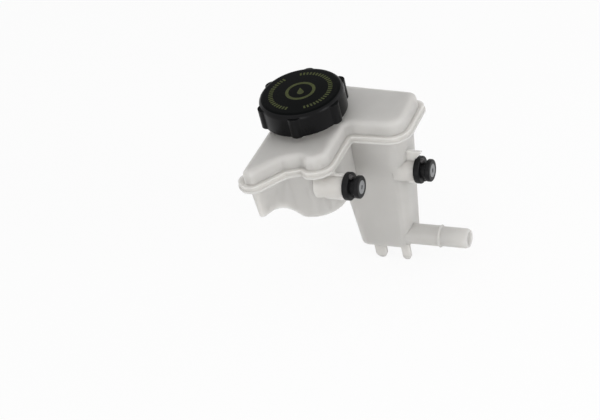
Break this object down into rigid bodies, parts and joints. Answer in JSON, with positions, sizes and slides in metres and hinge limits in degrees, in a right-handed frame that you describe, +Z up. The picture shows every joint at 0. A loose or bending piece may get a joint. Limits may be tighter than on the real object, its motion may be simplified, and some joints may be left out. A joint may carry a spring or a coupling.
{
  "type": "power steering reservoir",
  "caption": "Welded two-shell plastic fluid tank with a vented screw cap, grommeted mounting pegs, a suction spigot at its sump and a return nipple.",
  "frame": {"origin": "middle of the front grommet's groove, on the axis of its peg", "axes": "+X along the pegs and the suction spigot, away from the tank; +Z up along the filler neck; +Y to the back"},
  "size_m": [0.1461, 0.1458, 0.1626],
  "materials": {
    "tank_plastic": "milky, slightly translucent polypropylene with a satin moulded surface",
    "cap_plastic": "black moulded plastic with a fine grain",
    "soft_rubber": "smooth black rubber",
    "grommet_rubber": "dull black rubber",
    "natural_plastic": "natural nylon",
    "strainer_cloth": "fine woven nylon mesh"
  },
  "bodies": {
    "tank": {"lower_shell": "tank_plastic", "upper_shell": "tank_plastic", "front_grommet": "grommet_rubber", "back_grommet": "grommet_rubber", "strainer_frame": "natural_plastic", "strainer_mesh": "strainer_cloth"},
    "insert": {"cap_insert": "cap_plastic", "cap_seal": "soft_rubber", "vent_valve": "soft_rubber"},
    "cap": {"cap_shell": "cap_plastic"}
  },
  "joints": [
    {"name": "cap_lift", "type": "slide", "parent": "tank", "child": "insert", "axis": [0, 0, 1], "range_m": [0, 0.015]},
    {"name": "cap_turn", "type": "hinge", "parent": "insert", "child": "cap", "pos_m": [-0.05, 0.0425, 0.051], "axis": [0, 0, 1], "range_deg": [0, 900]}
  ],
  "couplings": [
    {"joint": "cap_lift", "follows": "cap_turn", "m_per_rad": 0.000954}
  ]
}
